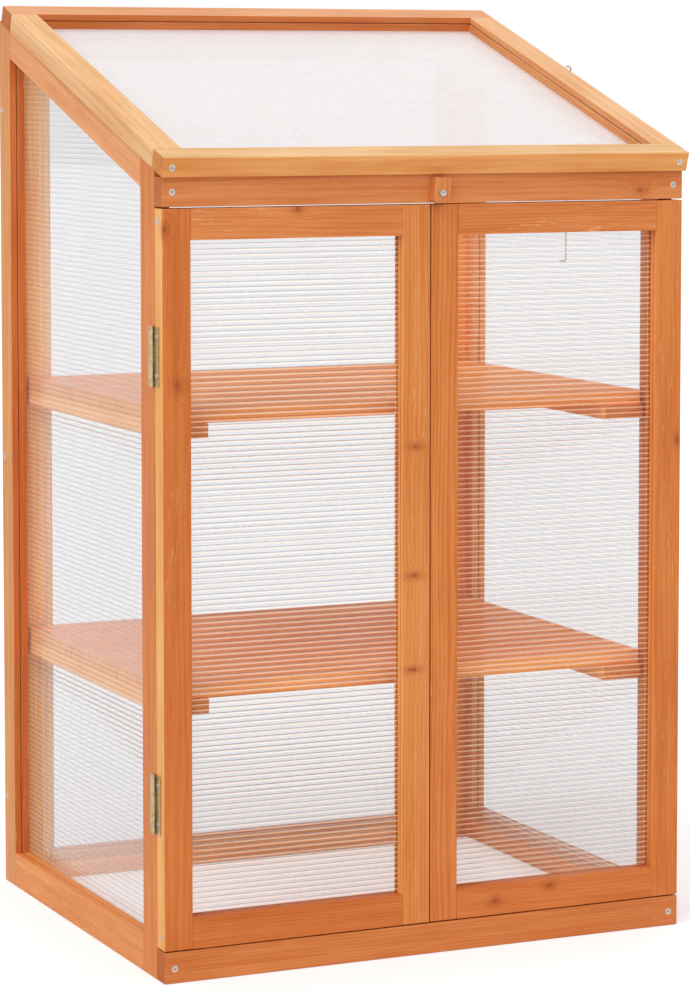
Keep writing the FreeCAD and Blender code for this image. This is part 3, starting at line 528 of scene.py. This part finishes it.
# The tint of a rib's dark line of painted shade, and the gain and the cover of its bright line of painted
# highlight
LINE_KINDS = {"bold": (0.72, 1.25, 0.40), "light": (0.89, 1.2, 0.34), "faint": (0.88, 1.06, 0.12)}
LINES = {
    kind: (shade_line(f"sheet_rib_shade_{kind}", tint), painted_highlight_line(f"sheet_rib_painted_highlight_{kind}", gain, cover))
    for kind, (tint, gain, cover) in LINE_KINDS.items()
}


# Twin-wall sheet: its shape

# The pitch of the ribs, and the widths of a rib, its dark line of painted shade, its bright line of painted
# highlight and a wall
RIB_PITCH = 5.6 * MM
RIB = 0.5 * MM
SHADE_LINE = 0.9 * MM
PAINTED_HIGHLIGHT_WIDTH = 1.6 * MM
WALL = 0.4 * MM

# How far a sheet's faces stay inside the sheet that it replaces, and its top under a sloping edge
INSET = 0.05 * MM
SLOPED_TOP_PLAY = 2 * MM
# Material slots of a sheet: a light band carries the painted highlight and a shade band the painted shade
CLEAR_SLOT, RIB_SLOT, SHADE_SLOT, PAINTED_HIGHLIGHT_SLOT = range(4)
SLOT_OF_BAND = {"rib": CLEAR_SLOT, "cell": CLEAR_SLOT, "shade": SHADE_SLOT, "light": PAINTED_HIGHLIGHT_SLOT}


def bands_between(low, high):
    """The levels of a sheet from its foot to its top, and what lies over each but the last: the edge of
    a rib, the dark line of painted shade over it, a clear cell, or the bright line of painted highlight under
    the next rib."""
    count = round((high - low - RIB) / RIB_PITCH)
    pitch = (high - low - RIB) / count
    levels = []
    bands = []
    for number in range(count):
        foot = low + number * pitch
        levels += [foot, foot + RIB, foot + RIB + SHADE_LINE, foot + pitch - PAINTED_HIGHLIGHT_WIDTH]
        bands += ["rib", "shade", "cell", "light"]
    foot = low + count * pitch
    return levels + [foot, foot + RIB], bands + ["rib"]


def twin_wall(node, along, up, outer, lines, wall=SHEET_WALL):
    """A sheet of two walls joined by ribs. The ribs run along one axis and are stacked up the other.
    Their painted lines of shade and highlight show on the wall of layer outer, 0 or 3, which is the outside
    of the greenhouse."""
    axes = Matrix((along, up, Vector(along).cross(Vector(up))))
    corners = [axes @ vertex.co for vertex in frame["nodes"][node].data.vertices]
    low = [min(corner[axis] for corner in corners) for axis in range(3)]
    high = [max(corner[axis] for corner in corners) for axis in range(3)]
    near_top = max(corner.y for corner in corners if corner.x < low[0] + MM)
    far_top = max(corner.y for corner in corners if corner.x > high[0] - MM)
    sloped = far_top - near_top > MM

    def start(height):
        """Where the sheet starts along its ribs at a height: further in where its top slopes."""
        if not sloped or height <= near_top:
            return low[0]
        return low[0] + (height - near_top) / (far_top - near_top) * (high[0] - low[0])

    levels, bands = bands_between(low[1], high[1] - SLOPED_TOP_PLAY if sloped else high[1])
    layers = [low[2] + INSET, low[2] + WALL, high[2] - WALL, high[2] - INSET]
    back = axes.transposed()
    vertices = []
    for end in range(2):
        for level in levels:
            reach = high[0] if end else start(level)
            vertices += [back @ Vector((reach, level, layer)) for layer in layers]

    def at(end, level, layer):
        """The number of the vertex at one of the two ends, at a level and in a layer."""
        return (end * len(levels) + level) * 4 + layer

    faces = []
    slots = []

    def strip(first, second, slot, flip=False):
        """A face along the ribs between two edges, each a level and a layer."""
        ring = [at(0, *first), at(1, *first), at(1, *second), at(0, *second)]
        faces.append(ring[::-1] if flip else ring)
        slots.append(slot)

    last = len(bands)
    for level, band in enumerate(bands):
        shown = SLOT_OF_BAND[band]
        strip((level, 3), (level + 1, 3), shown if outer == 3 else CLEAR_SLOT)
        strip((level, 0), (level + 1, 0), shown if outer == 0 else CLEAR_SLOT, flip=True)
        if band != "rib":
            strip((level, 1), (level + 1, 1), CLEAR_SLOT)
            strip((level, 2), (level + 1, 2), CLEAR_SLOT, flip=True)
        else:
            if level > 0:
                strip((level, 1), (level, 2), RIB_SLOT, flip=True)
            if level + 1 < last:
                strip((level + 1, 1), (level + 1, 2), RIB_SLOT)
        for layer in (0, 1, 2) if band == "rib" else (0, 2):
            for end in range(2):
                ring = [
                    at(end, level, layer),
                    at(end, level, layer + 1),
                    at(end, level + 1, layer + 1),
                    at(end, level + 1, layer),
                ]
                faces.append(ring if end else ring[::-1])
                slots.append(CLEAR_SLOT)
    for level in (0, last):
        for layer in range(3):
            strip((level, layer), (level, layer + 1), CLEAR_SLOT, flip=level == 0)

    mesh = bpy.data.meshes.new(f"{node}_twin_wall")
    mesh.from_pydata(vertices, [], faces)
    for made in (wall, RIB_SIDE, *LINES[lines]):
        mesh.materials.append(made)
    mesh.polygons.foreach_set("material_index", slots)
    mesh.update()
    sheet = bpy.data.objects.new(f"{node}_twin_wall", mesh)
    sheet.visible_shadow = False
    sheet.visible_diffuse = False
    bpy.context.scene.collection.objects.link(sheet)
    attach(sheet, BODY_OF[node])
    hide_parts(node)


twin_wall("left_door_panel", (1, 0, 0), (0, 0, 1), 3, "bold")
twin_wall("right_door_panel", (1, 0, 0), (0, 0, 1), 3, "light")
twin_wall("left_side_panel", (0, 1, 0), (0, 0, 1), 0, "faint")
twin_wall("right_side_panel", (0, 1, 0), (0, 0, 1), 3, "faint")
twin_wall("back_panel", (1, 0, 0), (0, 0, 1), 0, "faint")
twin_wall("lid_panel", (1, 0, 0), UP_SLOPE, 3, "light", wall=LID_WALL)


# Boards of the frame, each with its grain, its mean colour and what sets it apart, such as a side painted
# lighter as painted light

BOARDS = {
    "header_rail": ("across", (213, 129, 70), {"knots": [(248, -242.7, 800)], "worn": 0.25}),
    "base_rail": ("across", (209, 121, 62), {}),
    "turn_button": ("upright", (214, 130, 72), {"worn": 0.6}),
    "back_top_rail": ("across", (214, 132, 72), {}),
    # Painted light: the back frame's boards inside are coloured lighter than the outer boards, making up for
    # the shade inside, and their front faces are painted lighter still
    "back_bottom_rail": (
        "across", (236, 142, 76), {"painted_light_side": (FRONT, (1.24, 1.75, 2.4)), "gloss": INNER_GLOSS},
    ),
    "back_left_stile": (
        "upright", (222, 136, 72), {"painted_light_side": (FRONT, (1.35, 2.2, 2.5)), "gloss": INNER_GLOSS},
    ),
    "back_right_stile": (
        "upright", (222, 130, 62), {"painted_light_side": (FRONT, (1.18, 1.45, 1.35)), "gloss": INNER_GLOSS},
    ),
    # Painted sheen: the lid boards' top faces are painted paler, standing in for the sky's sheen on them
    "lid_front_rail": (
        "across_sloped", (232, 158, 88), {"painted_light_side": (LID_TOP, (0.96, 1.32, 2.0)), "worn": 0.4},
    ),
    "lid_back_rail": ("across_sloped", (208, 124, 68), {"painted_light_side": (LID_TOP, (1.2, 1.7, 2.6))}),
    "lid_left_rafter": ("sloped", (233, 180, 122), {"worn": 0.5}),
    "lid_right_rafter": ("sloped", (224, 156, 96), {"painted_light_side": (LID_TOP, (1.1, 1.35, 1.8)), "worn": 0.5}),
    # Painted light: the door stiles with a painted light side have their left faces painted lighter, as lit
    # from the left
    "left_door_hinge_stile": (
        "upright", (207, 115, 52),
        {"knots": [(-282.4, -242.7, 610), (-296, -242.7, 768)], "painted_light_side": (LEFT, (1.38, 2.4, 3.2))},
    ),
    "left_door_closing_stile": (
        "upright", (218, 134, 68),
        {
            "knots": [(-16.8, -242.7, 537), (-20, -242.7, 303), (-19, -242.7, 402)],
            "knot_size": (4, 10, 5),
            "painted_light_side": (LEFT, (1.3, 1.6, 1.7)),
            "worn": 0.6,
            "rings": 0.36,
        },
    ),
    "right_door_hinge_stile": (
        "upright", (210, 120, 56), {"knots": [(295, -242.7, 530)], "painted_light_side": (LEFT, (1.3, 1.5, 1.6))},
    ),
    "right_door_closing_stile": ("upright", (213, 124, 60), {"spacing": 2.4, "rings": 0.50}),
    "left_door_top_rail": (
        "across", (215, 129, 68), {"knots": [(-150, -242.7, 786)], "worn": 0.7, "rings": 0.34},
    ),
    "left_door_bottom_rail": ("across", (204, 110, 48), {}),
    "right_door_top_rail": ("across", (213, 126, 66), {"worn": 0.9, "rings": 0.34}),
    "right_door_bottom_rail": (
        "across", (208, 116, 54), {"knots": [(142, -242.7, 59), (77, -242.7, 48)], "worn": 0.6},
    ),
    # Painted light: the rear posts' and the right bottom rail's left faces are painted lighter, as lit from
    # the left; the right rear post inside is also coloured lighter, making up for the shade inside, and its
    # front face is painted lighter still
    "left_rear_post": ("upright", (200, 106, 50), {"painted_light_side": (LEFT, (1.2, 1.9, 2.2))}),
    "right_rear_post": (
        "upright", (226, 132, 64), {"painted_light_side": (LEFT_AND_FRONT, (1.3, 1.65, 1.6)), "gloss": INNER_GLOSS},
    ),
    "left_bottom_rail": ("deep", (225, 141, 70), {"worn": 0.5}),
    "right_bottom_rail": ("deep", (225, 139, 70), {"painted_light_side": (LEFT, (1.3, 1.5, 2.0)), "worn": 0.5}),
}
for side in ("left", "right"):
    BOARDS[f"{side}_front_post"] = ("upright", (215, 124, 53), {})
    BOARDS[f"{side}_top_rail"] = ("sloped", (229, 152, 92), {"worn": 0.9})
# Painted light: the battens and shelf boards are coloured lighter than the outer boards, the lower ones more,
# making up for the shade inside, and their left faces are painted lighter still
BATTEN = {"painted_light_side": (LEFT, (1.1, 1.4, 1.8)), "gloss": INNER_GLOSS}
SHELF_BOARD = {"painted_light_side": (LEFT, (1.25, 1.6, 2.0)), "gloss": INNER_GLOSS}
for level, colour in (("lower", (247, 156, 82)), ("upper", (243, 152, 80))):
    for side in ("left", "right"):
        BOARDS[f"{level}_{side}_batten"] = ("deep", colour, BATTEN)
    for place in ("front", "middle", "back"):
        BOARDS[f"{level}_shelf_{place}_board"] = ("across", colour, SHELF_BOARD)

EDGE_ROUND = 0.7 * MM
EDGE_ANGLE = math.radians(40)
WELD_DISTANCE = 0.01 * MM


def finish_node(node, made):
    """Give a CAD node its material."""
    piece = frame["nodes"][node]
    piece.data.materials.clear()
    piece.data.materials.append(made)
    return piece


def round_edges(piece):
    """Give a board's edges the small round that sanding leaves."""
    weld = piece.modifiers.new("weld", "WELD")
    weld.merge_threshold = WELD_DISTANCE
    rounding = piece.modifiers.new("rounding", "BEVEL")
    rounding.width = EDGE_ROUND
    rounding.segments = 2
    rounding.limit_method = "ANGLE"
    rounding.angle_limit = EDGE_ANGLE


for node, (grain, colour, other) in BOARDS.items():
    round_edges(finish_node(node, wood(node, grain, colour, **other)))


# Hinges, screws, eyes and the stay

ZINC = metal("zinc_plate", (0.60, 0.57, 0.52, 1), (0.42, 0.40, 0.37, 1), 0.34)
WIRE = metal("zinc_wire", (0.92, 0.91, 0.90, 1), (0.82, 0.81, 0.80, 1), 0.30)
BRASS = metal("brass_plate", (0.55, 0.44, 0.26, 1), (0.36, 0.29, 0.17, 1), 0.32)
for node in frame["nodes"]:
    if "hinge_leaves" in node or "hinge_pins" in node:
        finish_node(node, BRASS)
    elif "screw" in node or "eye" in node:
        finish_node(node, ZINC)
finish_node("lid_stay", WIRE)


# Stage

FLOOR_SIZE = 60
FLOOR_HEIGHT = -0.5 * MM
FLOOR_COLOR = (0.72, 0.72, 0.73, 1)
FLOOR_GLOW = 0.38
SKY_LIGHT = 0.72
SKY_SEEN = 1.0
CAMERA_LENS = 123.325
CAMERA_SHIFT = -0.165
CAMERA_PLACE = (-1.535738, -3.401175, 0.919460)
CAMERA_AZIMUTH = math.radians(-24.477)
CAMERA_PITCH = math.radians(4.288)


def seen_directly(tree):
    """1 for the camera and for what is mirrored or seen through glass, and 0 for light on the object."""
    path = tree.nodes.new("ShaderNodeLightPath").outputs
    seen = calc(tree, "MAXIMUM", path["Is Camera Ray"], path["Is Glossy Ray"])
    return calc(tree, "MAXIMUM", seen, path["Is Transmission Ray"])


def stage_floor():
    """A wide pale floor: white to the camera, with the object's shadow kept."""
    bpy.ops.mesh.primitive_plane_add(size=FLOOR_SIZE, location=(0, 0, FLOOR_HEIGHT))
    floor = bpy.context.object
    floor.name = "floor"
    made, tree, output = material("floor_white")
    strength = calc(tree, "MULTIPLY", seen_directly(tree), FLOOR_GLOW)
    plain = add(tree, "ShaderNodeBsdfDiffuse", {"Color": FLOOR_COLOR})
    glow = add(tree, "ShaderNodeEmission", {"Color": WHITE, "Strength": strength})
    both = add(tree, "ShaderNodeAddShader", {0: plain.outputs[0], 1: glow.outputs[0]})
    tree.links.new(both.outputs[0], output.inputs["Surface"])
    floor.data.materials.append(made)


def sun(name, direction, strength, angle):
    """A soft distant lamp that shines along a direction, as wide as an angle in degrees."""
    lamp = bpy.data.lights.new(name, "SUN")
    lamp.energy = strength
    lamp.angle = math.radians(angle)
    holder = bpy.data.objects.new(name, lamp)
    holder.rotation_mode = "QUATERNION"
    holder.rotation_quaternion = Vector(direction).to_track_quat("-Z", "Y")
    bpy.context.scene.collection.objects.link(holder)


def world():
    """White where it is seen, and a soft even light everywhere else."""
    made = bpy.data.worlds.new("studio")
    made.use_nodes = True
    tree = made.node_tree
    tree.nodes.clear()
    strength = calc(tree, "MULTIPLY_ADD", seen_directly(tree), SKY_SEEN - SKY_LIGHT, SKY_LIGHT)
    background = add(tree, "ShaderNodeBackground", {"Color": WHITE, "Strength": strength})
    output = tree.nodes.new("ShaderNodeOutputWorld")
    tree.links.new(background.outputs[0], output.inputs["Surface"])
    bpy.context.scene.world = made


def camera():
    """A long lens from the front left, at the height of the lid."""
    data = bpy.data.cameras.new("camera")
    data.sensor_width = 36
    data.lens = CAMERA_LENS
    data.shift_y = CAMERA_SHIFT
    data.clip_end = 100
    holder = bpy.data.objects.new("camera", data)
    holder.location = CAMERA_PLACE
    level = math.cos(CAMERA_PITCH)
    looking = Vector(
        (-math.sin(CAMERA_AZIMUTH) * level, math.cos(CAMERA_AZIMUTH) * level, -math.sin(CAMERA_PITCH))
    )
    holder.rotation_mode = "QUATERNION"
    holder.rotation_quaternion = looking.to_track_quat("-Z", "Y")
    bpy.context.scene.collection.objects.link(holder)
    bpy.context.scene.camera = holder


stage_floor()
world()
sun("key", (0.55, 0.40, -0.90), 1.0, 50)
sun("fill", (0.45, 0.85, -0.30), 0.75, 70)
camera()
scene = bpy.context.scene
scene.view_settings.view_transform = "Standard"
scene.cycles.transparent_max_bounces = 64
